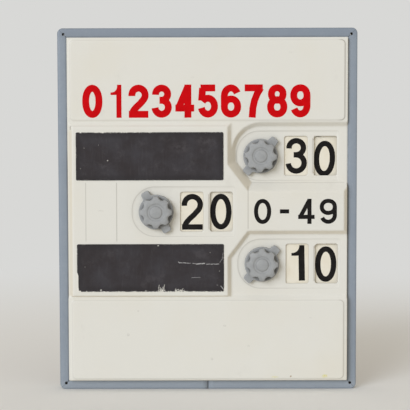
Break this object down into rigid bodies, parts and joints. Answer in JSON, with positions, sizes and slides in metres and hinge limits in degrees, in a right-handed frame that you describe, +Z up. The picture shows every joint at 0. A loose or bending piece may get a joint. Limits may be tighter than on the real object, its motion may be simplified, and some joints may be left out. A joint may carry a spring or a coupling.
{
  "type": "counter board",
  "caption": "Upright counter board: moulded panel in an edge trim, with concentric knobs turning tens and units discs behind windows, and blackboard strips for names.",
  "frame": {"origin": "centre of the base, at the middle of the overall depth", "axes": "+Z up along the board's height, -Y towards the viewer out of the front panel, +X to the viewer's right"},
  "size_m": [0.61, 0.07, 0.74],
  "materials": {
    "panel_plastic": "moulded, slightly aged cream",
    "trim_plastic": "satin blue-grey edging",
    "hardboard": "pressed fibre board",
    "batten_wood": "sawn softwood",
    "blackboard_film": "matt chalkboard film, worn at the edges",
    "red_film": "cut vinyl film",
    "black_film": "cut vinyl film",
    "knob_plastic": "satin grey moulding",
    "disc_plastic": "aged cream sheet",
    "bush_nylon": "natural nylon",
    "zinc_steel": "zinc plated"
  },
  "bodies": {
    "board": {"front_panel": "panel_plastic", "back_panel": "hardboard", "edge_trim": "trim_plastic", "batten_top": "batten_wood", "batten_bottom": "batten_wood", "batten_left": "batten_wood", "batten_right": "batten_wood", "blackboard_upper": "blackboard_film", "blackboard_lower": "blackboard_film", "heading_numerals": "red_film", "range_numerals": "black_film", "hub_bush_upper": "bush_nylon", "hub_bush_middle": "bush_nylon", "hub_bush_lower": "bush_nylon"},
    "tens_dial_upper": {"tens_knob_upper": "knob_plastic", "tens_disc_upper": "disc_plastic", "tens_numerals_upper": "black_film"},
    "units_dial_upper": {"units_knob_upper": "knob_plastic", "units_disc_upper": "disc_plastic", "units_numerals_upper": "black_film", "hub_washer_upper": "zinc_steel", "hub_screw_upper": "zinc_steel"},
    "tens_dial_middle": {"tens_knob_middle": "knob_plastic", "tens_disc_middle": "disc_plastic", "tens_numerals_middle": "black_film"},
    "units_dial_middle": {"units_knob_middle": "knob_plastic", "units_disc_middle": "disc_plastic", "units_numerals_middle": "black_film", "hub_washer_middle": "zinc_steel", "hub_screw_middle": "zinc_steel"},
    "tens_dial_lower": {"tens_knob_lower": "knob_plastic", "tens_disc_lower": "disc_plastic", "tens_numerals_lower": "black_film"},
    "units_dial_lower": {"units_knob_lower": "knob_plastic", "units_disc_lower": "disc_plastic", "units_numerals_lower": "black_film", "hub_washer_lower": "zinc_steel", "hub_screw_lower": "zinc_steel"}
  },
  "joints": [
    {"name": "tens_turn_upper", "type": "hinge", "parent": "board", "child": "tens_dial_upper", "pos_m": [0.1082, 0.009, 0.48], "axis": [0, -1, 0], "continuous": true},
    {"name": "units_turn_upper", "type": "hinge", "parent": "board", "child": "units_dial_upper", "pos_m": [0.1082, 0.009, 0.48], "axis": [0, -1, 0], "continuous": true},
    {"name": "tens_turn_middle", "type": "hinge", "parent": "board", "child": "tens_dial_middle", "pos_m": [-0.1045, -0.009, 0.367], "axis": [0, -1, 0], "continuous": true},
    {"name": "units_turn_middle", "type": "hinge", "parent": "board", "child": "units_dial_middle", "pos_m": [-0.1045, -0.009, 0.367], "axis": [0, -1, 0], "continuous": true},
    {"name": "tens_turn_lower", "type": "hinge", "parent": "board", "child": "tens_dial_lower", "pos_m": [0.1105, 0, 0.2595], "axis": [0, -1, 0], "continuous": true},
    {"name": "units_turn_lower", "type": "hinge", "parent": "board", "child": "units_dial_lower", "pos_m": [0.1105, 0, 0.2595], "axis": [0, -1, 0], "continuous": true}
  ]
}
